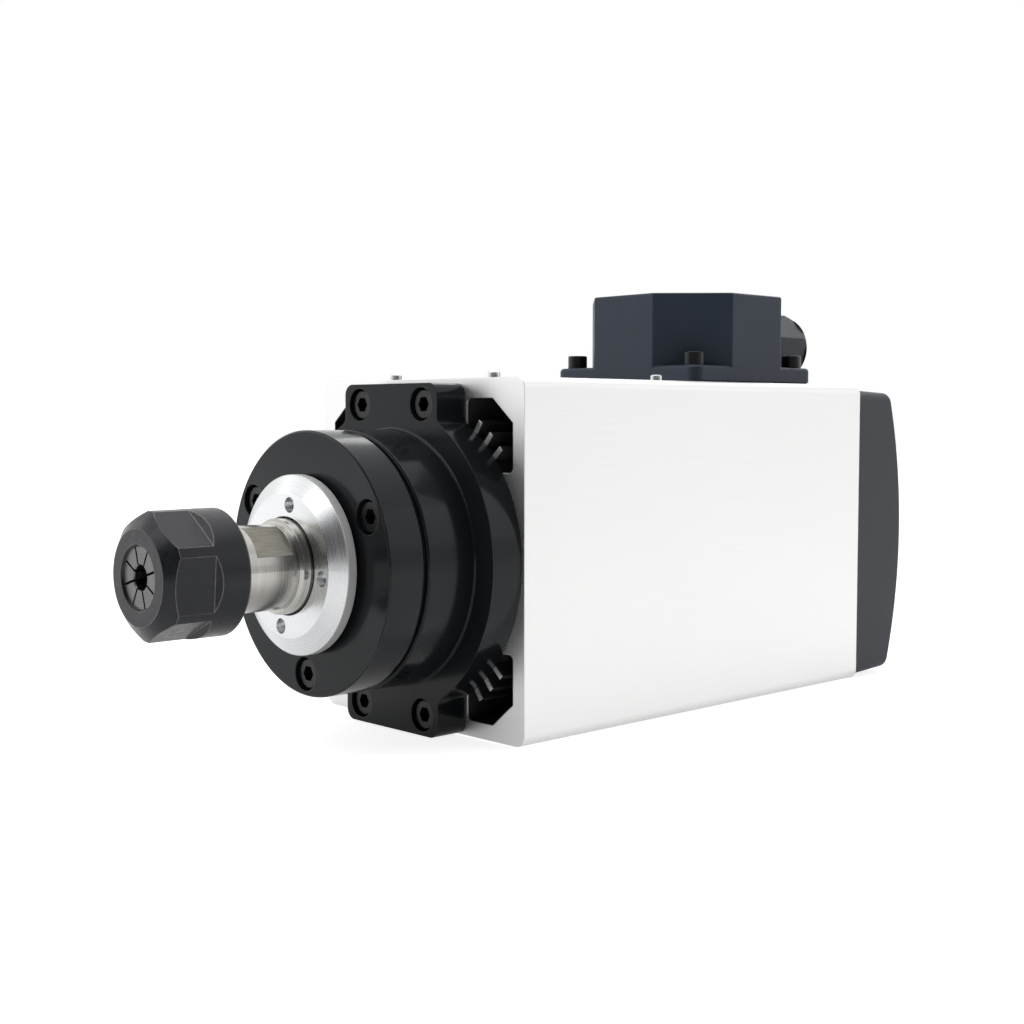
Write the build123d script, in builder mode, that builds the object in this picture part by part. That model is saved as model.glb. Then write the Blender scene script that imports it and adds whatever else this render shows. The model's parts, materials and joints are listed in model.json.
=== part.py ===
"""Air-cooled square motor spindle with a collet nose, a corner-ducted housing and a rear fan.

Millimetres. +Z is up and the nose points along -Y. The origin is the centre of the bolt pattern
in the housing's bottom face, so the spindle's axis runs along Y at half the housing's height.
"""

import os
from math import cos, radians, sin, sqrt, tan

from build123d import *

os.makedirs("parts", exist_ok=True)

# ---------------------------------------------------------------- driving dimensions

# Clearances
seat_gap = 0.01  # between pieces that are pressed or clamped together
running_gap = 0.05  # radial, a thread or a taper that turns or slides
ball_gap = 0.03  # a ball in its groove
labyrinth_gap = 0.4  # turning parts that must not rub
thread_gap = 0.04  # a screw in its tapped hole
head_gap = 0.4  # round a screw's head in its counterbore
tap_room = 2.0  # below a screw's tip in a deep hole
short_tap_room = 0.5  # below a screw's tip in a thin wall

# Shared small sizes
merge = 1.0  # how far one form runs into the next, or a cut runs past a face
edge_break = 0.5
spigot_chamfer = 1.0

# Housing: a square aluminium extrusion round a tube, with one air duct in each corner
housing_width = 138.0
housing_height = 155.7
housing_length = 244.0
housing_corner_radius = 5.0
axis_height = 77.0  # from the base to the spindle's axis
stator_bore_radius = 58.0
duct_tube_radius = 66.0
duct_wall = 7.0
duct_inner_x = 33.2
duct_inner_z = 38.4
duct_cut_x = 12.6
duct_cut_z = 10.5
duct_fillet = 2.5
fin_tip_radius = 73.1
fin_thickness = 2.3
fin_pitch = 6.7
fin_count = 3
fin_angle = 48.5

# Base bolt pattern
base_spacing_x = 50.0
base_spacing_y = 180.0
base_hole_radius = 4.0
base_hole_depth = 16.0

# Front flange: a disc with an ear above and below, and the nose that holds the front bearings
flange_radius = 67.7
flange_thickness = 16.2
ear_width = 64.0
ear_inset = 0.5  # from the base to the lower ear
ear_corner_radius = 5.0
ear_fillet = 4.0
ear_screw_x = 21.5
ear_screw_inset = 9.1
nose_radius = 56.4
nose_length = 24.8
nose_fillet = 1.0
nose_chamfer = 0.8
flange_spigot = 10.0
bearing_lip_radius = 30.0

# Front cover and the labyrinth nut before it
cover_length = 20.0
cover_spigot = 2.0
cover_spigot_wall = 4.0
cover_recess_depth = 3.0
cover_chamfer = 0.6
cover_groove_width = 2.7
cover_groove_depth = 2.2
cover_screw_circle = 47.0
cover_screw_count = 3
cover_screw_angle = 27.8
disc_radius = 38.0
disc_flat_radius = 30.3
disc_rim = 4.3
disc_cone = 4.6
disc_standoff = 2.1
disc_hub_radius = 25.0
disc_ring_radius = 32.0
disc_ring_thickness = 2.4
disc_ring_length = 3.2
disc_pin_circle = 25.8
disc_pin_radius = 3.25
disc_pin_depth = 3.6
disc_pin_angle = -7.7
disc_pin_count = 4
disc_bore_chamfer = 0.8
disc_relief_width = 0.8  # the groove in the shaft just before the disc
disc_relief_depth = 0.4

# Socket cap screws
head_chamfer = 0.4
socket_depth_share = 0.55
m8_radius = 4.0
m8_head_radius = 6.4
m8_head_height = 8.0
m8_socket_radius = 3.5
m8_counterbore_radius = 7.3
m8_counterbore_depth = 9.6
m8_hole_radius = 4.4
m8_length = 20.0

# Front bearings: a pair of 40 x 68 x 15 angular contact bearings with a spacer
front_bore_radius = 20.0
front_outer_radius = 34.0
front_bearing_width = 15.0
front_spacer_width = 6.0
front_ball_radius = 3.97
front_ball_count = 12

# Rear bearing: 30 x 55 x 13, pushed towards the nose by a wave spring
rear_bore_radius = 15.0
rear_outer_radius = 27.5
rear_bearing_width = 13.0
rear_bearing_setback = 18.0
rear_ball_radius = 3.57
rear_ball_count = 10
wave_spring_height = 3.6
wave_spring_gap = 0.4
wave_spring_lip = 1.2
ring_clearance_share = 0.62  # of a ball's radius, from the pitch circle to each ring
spacer_relief = 0.5
cage_height_share = 0.32  # of a ball's radius, half the height of the cage
cage_finger_share = 0.5  # of a ball's radius, how far a finger runs past the balls' middle
cage_gap = 0.5
cage_thickness = 1.4

# Shaft
neck_radius = 17.9
neck_length = 30.6
collar_projection = 4.5
collar_chamfer = 1.2
thread_run_out = 1.5
shaft_shoulder_radius = 24.0
wrench_flat_distance = 16.0
wrench_flat_width = 17.0
wrench_flat_offset = 2.9
wrench_flat_angle = 47.0
core_seat_radius = 22.0
rear_shoulder_radius = 19.0
fan_seat_radius = 11.0
shaft_bore_radius = 10.5
shaft_bore_depth = 52.0
drill_point = 4.0
taper_relief = 1.0
shaft_step = 1.0
shaft_tail = 2.0

# Collet, nut and the ring in the nut that pulls the collet out
collet_length = 40.0
collet_bore_radius = 5.0
collet_relief_radius = 6.5
collet_relief_length = 10.0
collet_face_radius = 12.2
collet_front_cone = 6.4
collet_front_angle = 30.0
collet_groove_radius = 14.0
collet_groove_width = 3.2
collet_large_radius = 16.5
collet_taper_angle = 8.0
collet_slot_width = 1.0
collet_rear_slot_width = 0.6
collet_slot_count = 8
collet_slot_angle = 16.0
collet_slot_bridge = 7.0
nut_radius = 25.8
nut_length = 35.5
nut_thread_radius = 20.0
nut_flat_distance = 23.3
nut_flat_angle = 24.8
nut_face_radius = 19.1
nut_cone_length = 4.8
nut_hex_length = 20.2
nut_hex_run_out = 2.2
nut_mouth_radius = 13.1
nut_mouth_depth = 1.2
nut_rear_chamfer = 1.0
nut_overhang = 2.4
shaft_face_gap = 0.5
ring_outer_radius = 18.0
ring_width = 2.6
ring_bore_gap = 0.4
ring_play = 0.2

# Motor
core_length = 120.0
stator_inner_radius = 33.0
air_gap = 0.5
winding_length = 20.0
winding_inner_radius = 37.0
winding_outer_radius = 55.0
winding_round = 5.0
end_ring_length = 8.0
end_ring_inner_radius = 24.6
end_ring_thickness = 6.6

# Rear bell
bell_rim = 0.55  # left outside a screw head's counterbore
bell_flat_gap = 1.0
bell_thickness = 9.0
bell_spigot = 20.0
bell_screw_count = 4
bell_screw_angle = 45.0
bell_step = 5.0
bell_chamfer = 1.5
bell_bore_radius = 22.0
bell_spigot_wall = 6.0
m5_radius = 2.5
m5_head_radius = 4.25
m5_head_height = 5.0
m5_socket_radius = 2.3
m5_hole_radius = 2.75
bell_screw_length = 16.0
locknut_radius = 20.5
locknut_width = 7.0
locknut_slot = 5.0
locknut_slot_count = 4

# Fan
fan_radius = 54.0
fan_hub_radius = 19.0
fan_hub_flare = 4.0
fan_blade_tip_gap = 1.5
fan_back_thickness = 2.0
fan_width = 15.0
fan_standoff = 7.0
fan_blade_count = 9
fan_blade_thickness = 2.0
fan_blade_bow = 7.0
circlip_width = 1.2
circlip_depth = 1.0
circlip_height = 2.2
circlip_opening = 5.0

# Fan cover: a moulded hood whose back bulges, with a round grille
hood_inset = 0.7
hood_top_inset = 2.4
hood_depth = 54.5
hood_dome_radius = 240.0
hood_draft = 2.5  # degrees
hood_wall = 3.0
hood_corner_radius = 7.0
hood_edge_round = 3.0
hood_post_radius = 6.5
hood_screw_inset = 9.0
hood_counterbore_radius = 4.2
hood_floor = 8.0
grille_radius = 52.0
grille_hub_radius = 12.0
grille_slot_width = 4.2
grille_ring_count = 5
grille_rib_count = 6
grille_rib_width = 4.0
m4_radius = 2.0
m4_head_radius = 3.5
m4_head_height = 4.0
m4_socket_radius = 1.7
m4_hole_radius = 2.25
hood_screw_bite = 9.0

# Terminal box: an eight-sided lid on a square foot, held by M6 cap screws
m6_radius = 3.0
m6_head_radius = 5.0
m6_head_height = 6.0
m6_socket_radius = 2.9
m6_hole_radius = 3.3
box_size = 96.0
box_centre_y = 61.1
box_height = 44.9
box_foot_height = 8.8
box_foot_radius = 5.5
box_foot_round = 2.0
box_corner_cut = 28.0
box_corner_round = 1.6
box_wall = 3.0
box_edge_round = 1.2
box_screw_spacing = 79.8
box_screw_bite = 6.0
box_screw_washer = 0.6
box_washer_lip = 0.1
gasket_thickness = 1.2
gasket_inset = 0.8
lead_hole_radius = 9.0
block_length = 50.0
block_width = 20.0
block_height = 14.0
block_floor = 3.0
block_rib = 1.6
block_offset_y = -22.0
stud_radius = 2.0
stud_height = 8.0
stud_nut_radius = 3.6
stud_nut_height = 3.0
stud_spacing = 15.0
stud_count = 3

# Cable gland in the rear wall of the terminal box
gland_height = 21.9
gland_thread_radius = 12.5
gland_bore_radius = 9.4
gland_hex_radius = 17.0
gland_hex_width = 2.0
gland_seal_ring = 1.4
gland_washer_width = 2.6
gland_neck_length = 16.0
gland_inside_length = 9.0
gland_nut_width = 5.0
gland_cap_length = 36.0
gland_cap_radius = 19.0
gland_cap_gap = 2.0
gland_cap_dome = 8.0
gland_cap_round = 1.6
gland_cap_end_radius = 13.6
gland_cap_hex_angle = 15.0
gland_cap_mouth_radius = 9.8
gland_seal_bore = 8.0
gland_seal_wall = 3.3
gland_seal_length = 15.0
gland_seal_entry = 4.0
gland_seal_cone_length = 3.0
gland_seal_cone_depth = 2.0

# Small screws on top of the housing
m3_radius = 1.5
m3_head_radius = 2.75
m3_head_height = 3.0
m3_socket_radius = 1.44
top_screw_x = 34.0
top_screw_setback = 15.0
earth_screw_x = 48.0
earth_screw_y = -16.0
top_screw_bite = 5.0

# ---------------------------------------------------------------- places worked out from them

axis_z = axis_height
housing_middle = housing_height / 2 - axis_z  # of the section, above the axis
housing_front = -housing_length / 2
housing_rear = housing_length / 2

flange_front = housing_front - flange_thickness
ear_height = 2 * (axis_z - ear_inset)
ear_screw_z = ear_height / 2 - ear_screw_inset
nose_front = flange_front - nose_length
cover_front = nose_front - cover_length

disc_back = cover_front - disc_standoff
disc_rim_front = disc_back - disc_rim
disc_front = disc_rim_front - disc_cone

bearing_front = nose_front + cover_spigot
bearing_middle = bearing_front + front_bearing_width
bearing_second = bearing_middle + front_spacer_width
bearing_rear = bearing_second + front_bearing_width

neck_rear = disc_front - collar_projection
thread_rear = neck_rear - neck_length

nut_rear = thread_rear + nut_overhang
nut_front = nut_rear - nut_length
collet_front = nut_front + nut_mouth_depth
collet_cone_end = collet_front + collet_front_cone
collet_groove_end = collet_cone_end + collet_groove_width
shaft_front = collet_groove_end + shaft_face_gap
collet_rear = collet_front + collet_length
collet_rise = (collet_length - collet_front_cone - collet_groove_width) * tan(radians(collet_taper_angle))

core_front = -core_length / 2
core_rear = core_length / 2

rear_bearing_front = housing_rear - rear_bearing_setback
rear_bearing_rear = rear_bearing_front + rear_bearing_width
bell_rear = housing_rear + bell_thickness
bell_screw_circle = (stator_bore_radius + duct_tube_radius) / 2
bell_radius = bell_screw_circle + m5_head_radius + head_gap + bell_rim
fan_front = bell_rear + fan_standoff
fan_rear = fan_front + fan_width
shaft_rear = fan_rear + circlip_width + shaft_tail

hood_width = housing_width - 2 * hood_inset
hood_height = housing_height - hood_inset - hood_top_inset
hood_middle = hood_inset + hood_height / 2 - axis_z
hood_back = housing_rear + hood_depth
grille_sag = hood_dome_radius - sqrt(hood_dome_radius**2 - grille_radius**2)

box_floor = housing_height + gasket_thickness
box_top = housing_height + box_height
box_half = box_size / 2
box_rear = box_centre_y + box_half

spindle_axis = Axis((0, 0, axis_z), (0, 1, 0))
axial_plane = Plane(origin=(0, 0, axis_z), x_dir=(1, 0, 0), z_dir=(0, 0, 1))
top_plane = Plane(origin=(0, 0, housing_height), x_dir=(1, 0, 0), z_dir=(0, 0, 1))
box_seat_plane = Plane(origin=(0, box_centre_y, housing_height), x_dir=(1, 0, 0), z_dir=(0, 0, 1))

# ---------------------------------------------------------------- shared shapes


def facing_nose(y, z=axis_z):
    """A plane square to the spindle at y whose outward side looks along -Y."""
    return Plane(origin=(0, y, z), x_dir=(1, 0, 0), z_dir=(0, -1, 0))


def turning(*points):
    """The half section of a turned piece, as (radius, y) corners."""
    with BuildSketch(axial_plane) as half_section:
        with BuildLine():
            Polyline(*points, close=True)
        make_face()
    return half_section.sketch.face()


def circles(plane, radius, places):
    """Equal circles at the places on the plane."""
    with BuildSketch(plane) as holes:
        with Locations(*places):
            Circle(radius)
    return holes.sketch


def tube(inner, outer, start, end):
    """A plain turned ring from start to end along the spindle."""
    with BuildPart() as ring:
        revolve(turning((inner, start), (outer, start), (outer, end), (inner, end)), axis=spindle_axis)
    return ring.part


def corners(x, y):
    """The four places at plus and minus x and y."""
    return [(x, y), (-x, y), (-x, -y), (x, -y)]


def on_circle(radius, count, start):
    """Places on a circle, from the start angle in degrees."""
    step = 360 / count
    return [
        (radius * cos(radians(start + step * k)), radius * sin(radians(start + step * k)))
        for k in range(count)
    ]


def cap_screws(seat, places, size, length):
    """Socket cap screws whose heads stand on the seat plane and whose shanks go below it."""
    shank_radius, head_radius, head_height, socket_radius = size
    with BuildPart() as screws:
        extrude(circles(seat, head_radius, places), amount=head_height)
        chamfer(screws.edges().group_by(Axis(seat.origin, seat.z_dir))[-1], head_chamfer)
        extrude(circles(seat, shank_radius, places), amount=-length)
        with BuildSketch(seat.offset(head_height)):
            with Locations(*places):
                RegularPolygon(socket_radius, 6)
        extrude(amount=-head_height * socket_depth_share, mode=Mode.SUBTRACT)
    return screws.part


m8 = (m8_radius, m8_head_radius, m8_head_height, m8_socket_radius)
m5 = (m5_radius, m5_head_radius, m5_head_height, m5_socket_radius)
m6 = (m6_radius, m6_head_radius, m6_head_height, m6_socket_radius)
m4 = (m4_radius, m4_head_radius, m4_head_height, m4_socket_radius)
m3 = (m3_radius, m3_head_radius, m3_head_height, m3_socket_radius)

# ---------------------------------------------------------------- places of the screws

ear_screws_at = corners(ear_screw_x, ear_screw_z)
cover_screws_at = on_circle(cover_screw_circle, cover_screw_count, cover_screw_angle)
bell_screws_at = on_circle(bell_screw_circle, bell_screw_count, bell_screw_angle)
hood_screws_at = [
    (x, y + hood_middle)
    for x, y in corners(
        housing_width / 2 - hood_screw_inset, hood_height / 2 + hood_inset - hood_screw_inset
    )
]
box_screws_at = corners(box_screw_spacing / 2, box_screw_spacing / 2)
top_screws_at = [
    (top_screw_x, housing_front + top_screw_setback),
    (-top_screw_x, housing_front + top_screw_setback),
    (earth_screw_x, earth_screw_y),
]

# ---------------------------------------------------------------- housing

with BuildPart() as housing:
    with BuildSketch(facing_nose(housing_front)):
        with Locations((0, housing_middle)):
            RectangleRounded(housing_width, housing_height, housing_corner_radius)
        Circle(stator_bore_radius, mode=Mode.SUBTRACT)
    extrude(amount=-housing_length)
    # The corner ducts, each the corner left between the outer walls and the round tube
    with BuildSketch(facing_nose(housing_front)) as duct:
        duct_outer_x = housing_width / 2 - duct_wall
        duct_outer_z = axis_z - duct_wall
        with BuildLine():
            Polyline(
                (duct_inner_x, duct_inner_z),
                (duct_outer_x, duct_inner_z),
                (duct_outer_x, duct_outer_z - duct_cut_z),
                (duct_outer_x - duct_cut_x, duct_outer_z),
                (duct_inner_x, duct_outer_z),
                close=True,
            )
        make_face()
        fillet(duct.vertices().sort_by(Axis.X)[-2:].sort_by(Axis.Y)[:1], duct_fillet)
        fillet(duct.vertices().sort_by(Axis.Y)[-2:].sort_by(Axis.X)[:1], duct_fillet)
        Circle(duct_tube_radius, mode=Mode.SUBTRACT)
        with Locations(
            *[
                Location((0, 0, 0), (0, 0, fin_angle + fin_pitch * (k - (fin_count - 1) / 2)))
                for k in range(fin_count)
            ]
        ):
            Rectangle(fin_tip_radius, fin_thickness, align=(Align.MIN, Align.CENTER), mode=Mode.SUBTRACT)
        mirror(about=Plane.YZ)
        mirror(about=Plane.XZ)
    extrude(amount=-housing_length, mode=Mode.SUBTRACT)
    # Tapped holes: ears, rear bell, hood, base, terminal box, small screws on top
    extrude(
        circles(facing_nose(housing_front), m8_radius + thread_gap, ear_screws_at),
        amount=-(m8_length + tap_room - (flange_thickness - m8_counterbore_depth)),
        mode=Mode.SUBTRACT,
    )
    extrude(
        circles(facing_nose(housing_rear), m5_radius + thread_gap, bell_screws_at),
        amount=bell_screw_length - bell_thickness + m5_head_height + tap_room,
        mode=Mode.SUBTRACT,
    )
    extrude(
        circles(facing_nose(housing_rear), m4_radius + thread_gap, hood_screws_at),
        amount=hood_screw_bite + tap_room,
        mode=Mode.SUBTRACT,
    )
    extrude(
        circles(Plane.XY, base_hole_radius, corners(base_spacing_x / 2, base_spacing_y / 2)),
        amount=base_hole_depth,
        mode=Mode.SUBTRACT,
    )
    extrude(
        circles(box_seat_plane, m6_radius + thread_gap, box_screws_at),
        amount=-box_screw_bite - short_tap_room,
        mode=Mode.SUBTRACT,
    )
    extrude(
        circles(top_plane, lead_hole_radius, [(0, box_centre_y)]),
        amount=-(housing_height - axis_z - stator_bore_radius + 2 * merge),
        mode=Mode.SUBTRACT,
    )
    extrude(
        circles(top_plane, m3_radius + thread_gap, top_screws_at),
        amount=-top_screw_bite - short_tap_room,
        mode=Mode.SUBTRACT,
    )

# ---------------------------------------------------------------- front flange and cover

with BuildPart() as front_flange:
    with BuildSketch(facing_nose(housing_front)) as plate:
        Circle(flange_radius)
        RectangleRounded(ear_width, ear_height, ear_corner_radius)
        inner_corners = [v for v in plate.vertices() if abs(sqrt(v.X**2 + v.Y**2) - flange_radius) < seat_gap]
        fillet(inner_corners, ear_fillet)
    extrude(amount=flange_thickness)
    # Nose cylinder, with a fillet where it leaves the flange
    with BuildSketch(axial_plane):
        with BuildLine():
            Polyline(
                (nose_radius + nose_fillet, flange_front),
                (nose_radius + nose_fillet, flange_front + merge),
                (bearing_lip_radius, flange_front + merge),
                (bearing_lip_radius, nose_front),
                (nose_radius - nose_chamfer, nose_front),
                (nose_radius, nose_front + nose_chamfer),
                (nose_radius, flange_front - nose_fillet),
            )
            CenterArc((nose_radius + nose_fillet, flange_front - nose_fillet), nose_fillet, 90, 90)
        make_face()
    revolve(axis=spindle_axis)
    # Spigot that centres the flange in the stator bore
    revolve(
        turning(
            (bearing_lip_radius, housing_front),
            (stator_bore_radius - seat_gap, housing_front),
            (stator_bore_radius - seat_gap, housing_front + flange_spigot - spigot_chamfer),
            (stator_bore_radius - seat_gap - spigot_chamfer, housing_front + flange_spigot),
            (bearing_lip_radius, housing_front + flange_spigot),
        ),
        axis=spindle_axis,
    )
    # Bearing bore with a lip behind the second bearing
    revolve(
        turning(
            (0, nose_front),
            (front_outer_radius + seat_gap, nose_front),
            (front_outer_radius + seat_gap, bearing_rear),
            (bearing_lip_radius, bearing_rear),
            (bearing_lip_radius, housing_front + flange_spigot),
            (0, housing_front + flange_spigot),
        ),
        axis=spindle_axis,
        mode=Mode.SUBTRACT,
    )
    ear_places = circles(facing_nose(flange_front), m8_counterbore_radius, corners(ear_screw_x, ear_screw_z))
    extrude(ear_places, amount=-m8_counterbore_depth, mode=Mode.SUBTRACT)
    extrude(
        circles(facing_nose(flange_front), m8_hole_radius, ear_screws_at),
        amount=-flange_thickness,
        mode=Mode.SUBTRACT,
    )
    extrude(
        circles(facing_nose(nose_front), m8_radius + thread_gap, cover_screws_at),
        amount=-(m8_length - (cover_length - m8_counterbore_depth) + tap_room),
        mode=Mode.SUBTRACT,
    )

with BuildPart() as front_cover:
    groove_radius = nose_radius - cover_groove_depth
    revolve(
        turning(
            (disc_hub_radius + labyrinth_gap, cover_front),
            (nose_radius - cover_chamfer, cover_front),
            (nose_radius, cover_front + cover_chamfer),
            (nose_radius, nose_front - cover_groove_width - nose_chamfer / 2),
            (nose_radius - nose_chamfer / 2, nose_front - cover_groove_width),
            (groove_radius, nose_front - cover_groove_width),
            (groove_radius, nose_front),
            (front_outer_radius - seat_gap, nose_front),
            (front_outer_radius - seat_gap, bearing_front),
            (front_outer_radius - cover_spigot_wall, bearing_front),
            (front_outer_radius - cover_spigot_wall, nose_front - cover_recess_depth),
            (disc_hub_radius + labyrinth_gap, nose_front - cover_recess_depth),
        ),
        axis=spindle_axis,
    )
    # Labyrinth groove that the ring on the back of the disc turns in
    ring_inner = disc_ring_radius - disc_ring_thickness / 2
    ring_outer = disc_ring_radius + disc_ring_thickness / 2
    groove_depth = disc_ring_length - disc_standoff + labyrinth_gap
    revolve(
        turning(
            (ring_inner - labyrinth_gap, cover_front),
            (ring_outer + labyrinth_gap, cover_front),
            (ring_outer + labyrinth_gap, cover_front + groove_depth),
            (ring_inner - labyrinth_gap, cover_front + groove_depth),
        ),
        axis=spindle_axis,
        mode=Mode.SUBTRACT,
    )
    extrude(
        circles(facing_nose(cover_front), m8_counterbore_radius, cover_screws_at),
        amount=-m8_counterbore_depth,
        mode=Mode.SUBTRACT,
    )
    extrude(
        circles(facing_nose(cover_front), m8_hole_radius, cover_screws_at),
        amount=-cover_length,
        mode=Mode.SUBTRACT,
    )

with BuildPart() as flange_screws:
    add(
        cap_screws(
            facing_nose(flange_front + m8_counterbore_depth), ear_screws_at, m8, m8_length
        )
    )

with BuildPart() as front_cover_screws:
    add(cap_screws(facing_nose(cover_front + m8_counterbore_depth), cover_screws_at, m8, m8_length))

# ---------------------------------------------------------------- labyrinth nut and shaft

with BuildPart() as labyrinth_nut:
    bore = front_bore_radius + seat_gap
    revolve(
        turning(
            (bore + disc_bore_chamfer, disc_front),
            (disc_flat_radius, disc_front),
            (disc_radius, disc_rim_front),
            (disc_radius, disc_back - edge_break),
            (disc_radius - edge_break, disc_back),
            (ring_outer, disc_back),
            (ring_outer, disc_back + disc_ring_length),
            (ring_inner, disc_back + disc_ring_length),
            (ring_inner, disc_back),
            (disc_hub_radius, disc_back),
            (disc_hub_radius, bearing_front - spigot_chamfer),
            (disc_hub_radius - spigot_chamfer, bearing_front),
            (bore, bearing_front),
            (bore, disc_front + disc_bore_chamfer),
        ),
        axis=spindle_axis,
    )
    extrude(
        circles(
            facing_nose(disc_front),
            disc_pin_radius,
            on_circle(disc_pin_circle, disc_pin_count, disc_pin_angle),
        ),
        amount=-disc_pin_depth,
        mode=Mode.SUBTRACT,
    )

taper_slope = tan(radians(collet_taper_angle))
taper_mouth_radius = collet_large_radius + running_gap - (shaft_front - collet_groove_end) * taper_slope
taper_end_radius = taper_mouth_radius - (collet_rear + taper_relief - shaft_front) * taper_slope

with BuildPart() as spindle_shaft:
    revolve(
        turning(
            (taper_mouth_radius, shaft_front),
            (nut_thread_radius - spigot_chamfer, shaft_front),
            (nut_thread_radius, shaft_front + spigot_chamfer),
            (nut_thread_radius, thread_rear - thread_run_out),
            (neck_radius, thread_rear),
            (neck_radius, neck_rear - collar_chamfer),
            (front_bore_radius - collar_chamfer, neck_rear - collar_chamfer),
            (front_bore_radius, neck_rear),
            (front_bore_radius, disc_front - disc_relief_width),
            (front_bore_radius - disc_relief_depth, disc_front - disc_relief_width),
            (front_bore_radius - disc_relief_depth, disc_front),
            (front_bore_radius, disc_front),
            (front_bore_radius, bearing_rear),
            (shaft_shoulder_radius, bearing_rear),
            (shaft_shoulder_radius, core_front),
            (core_seat_radius, core_front),
            (core_seat_radius, core_rear),
            (rear_shoulder_radius, core_rear),
            (rear_shoulder_radius, rear_bearing_front),
            (rear_bore_radius, rear_bearing_front),
            (rear_bore_radius, rear_bearing_rear + locknut_width + shaft_step),
            (fan_seat_radius, rear_bearing_rear + locknut_width + 2 * shaft_step),
            (fan_seat_radius, fan_rear),
            (fan_seat_radius - circlip_depth, fan_rear),
            (fan_seat_radius - circlip_depth, fan_rear + circlip_width),
            (fan_seat_radius, fan_rear + circlip_width),
            (fan_seat_radius, shaft_rear - edge_break),
            (fan_seat_radius - edge_break, shaft_rear),
            (0, shaft_rear),
            (0, collet_rear + shaft_bore_depth),
            (shaft_bore_radius, collet_rear + shaft_bore_depth - drill_point),
            (shaft_bore_radius, collet_rear + taper_relief),
            (taper_end_radius, collet_rear + taper_relief),
        ),
        axis=spindle_axis,
    )
    # Two flats across the neck for a spanner
    with BuildSketch(facing_nose(neck_rear - wrench_flat_offset - wrench_flat_width)):
        with PolarLocations(wrench_flat_distance, 2, wrench_flat_angle):
            Rectangle(neck_radius, 2 * neck_radius, align=(Align.MIN, Align.CENTER))
    extrude(amount=-wrench_flat_width, mode=Mode.SUBTRACT)

# ---------------------------------------------------------------- collet and nut

cone_slope = tan(radians(collet_front_angle))
collet_shoulder_radius = collet_face_radius + collet_front_cone * cone_slope

with BuildPart() as collet:
    revolve(
        turning(
            (collet_bore_radius + edge_break, collet_front),
            (collet_face_radius, collet_front),
            (collet_shoulder_radius, collet_cone_end),
            (collet_groove_radius, collet_cone_end),
            (collet_groove_radius, collet_groove_end),
            (collet_large_radius, collet_groove_end),
            (collet_large_radius - collet_rise, collet_rear),
            (collet_relief_radius, collet_rear),
            (collet_relief_radius, collet_rear - collet_relief_length),
            (collet_bore_radius, collet_rear - collet_relief_length),
            (collet_bore_radius, collet_front + edge_break),
        ),
        axis=spindle_axis,
    )
    # Slots from the face, and as many between them from the back
    slot_step = 360 / collet_slot_count
    slot_reach = collet_length - collet_slot_bridge
    for plane, first_angle, reach, width in (
        (facing_nose(collet_front), collet_slot_angle, -slot_reach, collet_slot_width),
        (facing_nose(collet_rear), collet_slot_angle + slot_step / 2, slot_reach, collet_rear_slot_width),
    ):
        with BuildSketch(plane):
            with Locations(
                *[
                    Location((0, 0, 0), (0, 0, first_angle + slot_step * k))
                    for k in range(collet_slot_count // 2)
                ]
            ):
                Rectangle(2 * (collet_large_radius + merge), width)
        extrude(amount=reach, mode=Mode.SUBTRACT)

with BuildPart() as nut_waste:
    # What the mill takes off the nut: all outside a hexagon that runs out into the round rear
    with BuildSketch(facing_nose(nut_front + nut_hex_length + nut_hex_run_out)):
        Circle(2 * nut_radius)
    extrude(amount=nut_hex_length + nut_hex_run_out)
    with BuildSketch(facing_nose(nut_front + nut_hex_length)):
        RegularPolygon(nut_flat_distance, 6, major_radius=False, rotation=nut_flat_angle)
    extrude(amount=nut_hex_length, mode=Mode.SUBTRACT)
    with BuildSketch(facing_nose(nut_front + nut_hex_length)):
        RegularPolygon(nut_flat_distance, 6, major_radius=False, rotation=nut_flat_angle)
    with BuildSketch(facing_nose(nut_front + nut_hex_length + nut_hex_run_out)):
        RegularPolygon(nut_radius + running_gap, 6, major_radius=False, rotation=nut_flat_angle)
    loft(mode=Mode.SUBTRACT)

with BuildPart() as collet_nut:
    cone_gap = running_gap / cos(radians(collet_front_angle))
    cone_wide_radius = collet_shoulder_radius + cone_gap
    chamber_front = collet_cone_end
    chamber_rear = chamber_front + collet_groove_width
    revolve(
        turning(
            (collet_face_radius + cone_gap, collet_front),
            (nut_mouth_radius, nut_front),
            (nut_face_radius, nut_front),
            (nut_radius, nut_front + nut_cone_length),
            (nut_radius, nut_rear - nut_rear_chamfer),
            (nut_radius - nut_rear_chamfer, nut_rear),
            (nut_thread_radius + running_gap, nut_rear),
            (nut_thread_radius + running_gap, chamber_rear),
            (ring_outer_radius, chamber_rear),
            (ring_outer_radius, chamber_front),
            (cone_wide_radius, chamber_front),
        ),
        axis=spindle_axis,
    )
    add(nut_waste.part, mode=Mode.SUBTRACT)

with BuildPart() as extractor_ring:
    ring_front = chamber_front + ring_play
    add(
        tube(
            collet_groove_radius + ring_bore_gap,
            ring_outer_radius - seat_gap,
            ring_front,
            ring_front + ring_width,
        )
    )

# ---------------------------------------------------------------- bearings


def ring_pair(inner, outer, groove_centre, groove_radius, starts, width):
    """Bearing rings with a ball groove, one at each start."""
    with BuildPart() as rings:
        for start in starts:
            revolve(
                turning((inner, start), (outer, start), (outer, start + width), (inner, start + width)),
                axis=spindle_axis,
            )
            middle = start + width / 2
            with BuildSketch(axial_plane):
                with Locations((groove_centre, middle)):
                    Circle(groove_radius)
            revolve(axis=spindle_axis, mode=Mode.SUBTRACT)
    return rings.part


def ball_set(pitch_radius, ball_radius, count, middles):
    """Balls spread round each bearing."""
    with BuildPart() as balls:
        for middle in middles:
            places = [(x, middle, axis_z + z) for x, z in on_circle(pitch_radius, count, 0)]
            with Locations(*places):
                Sphere(ball_radius)
    return balls.part


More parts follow.
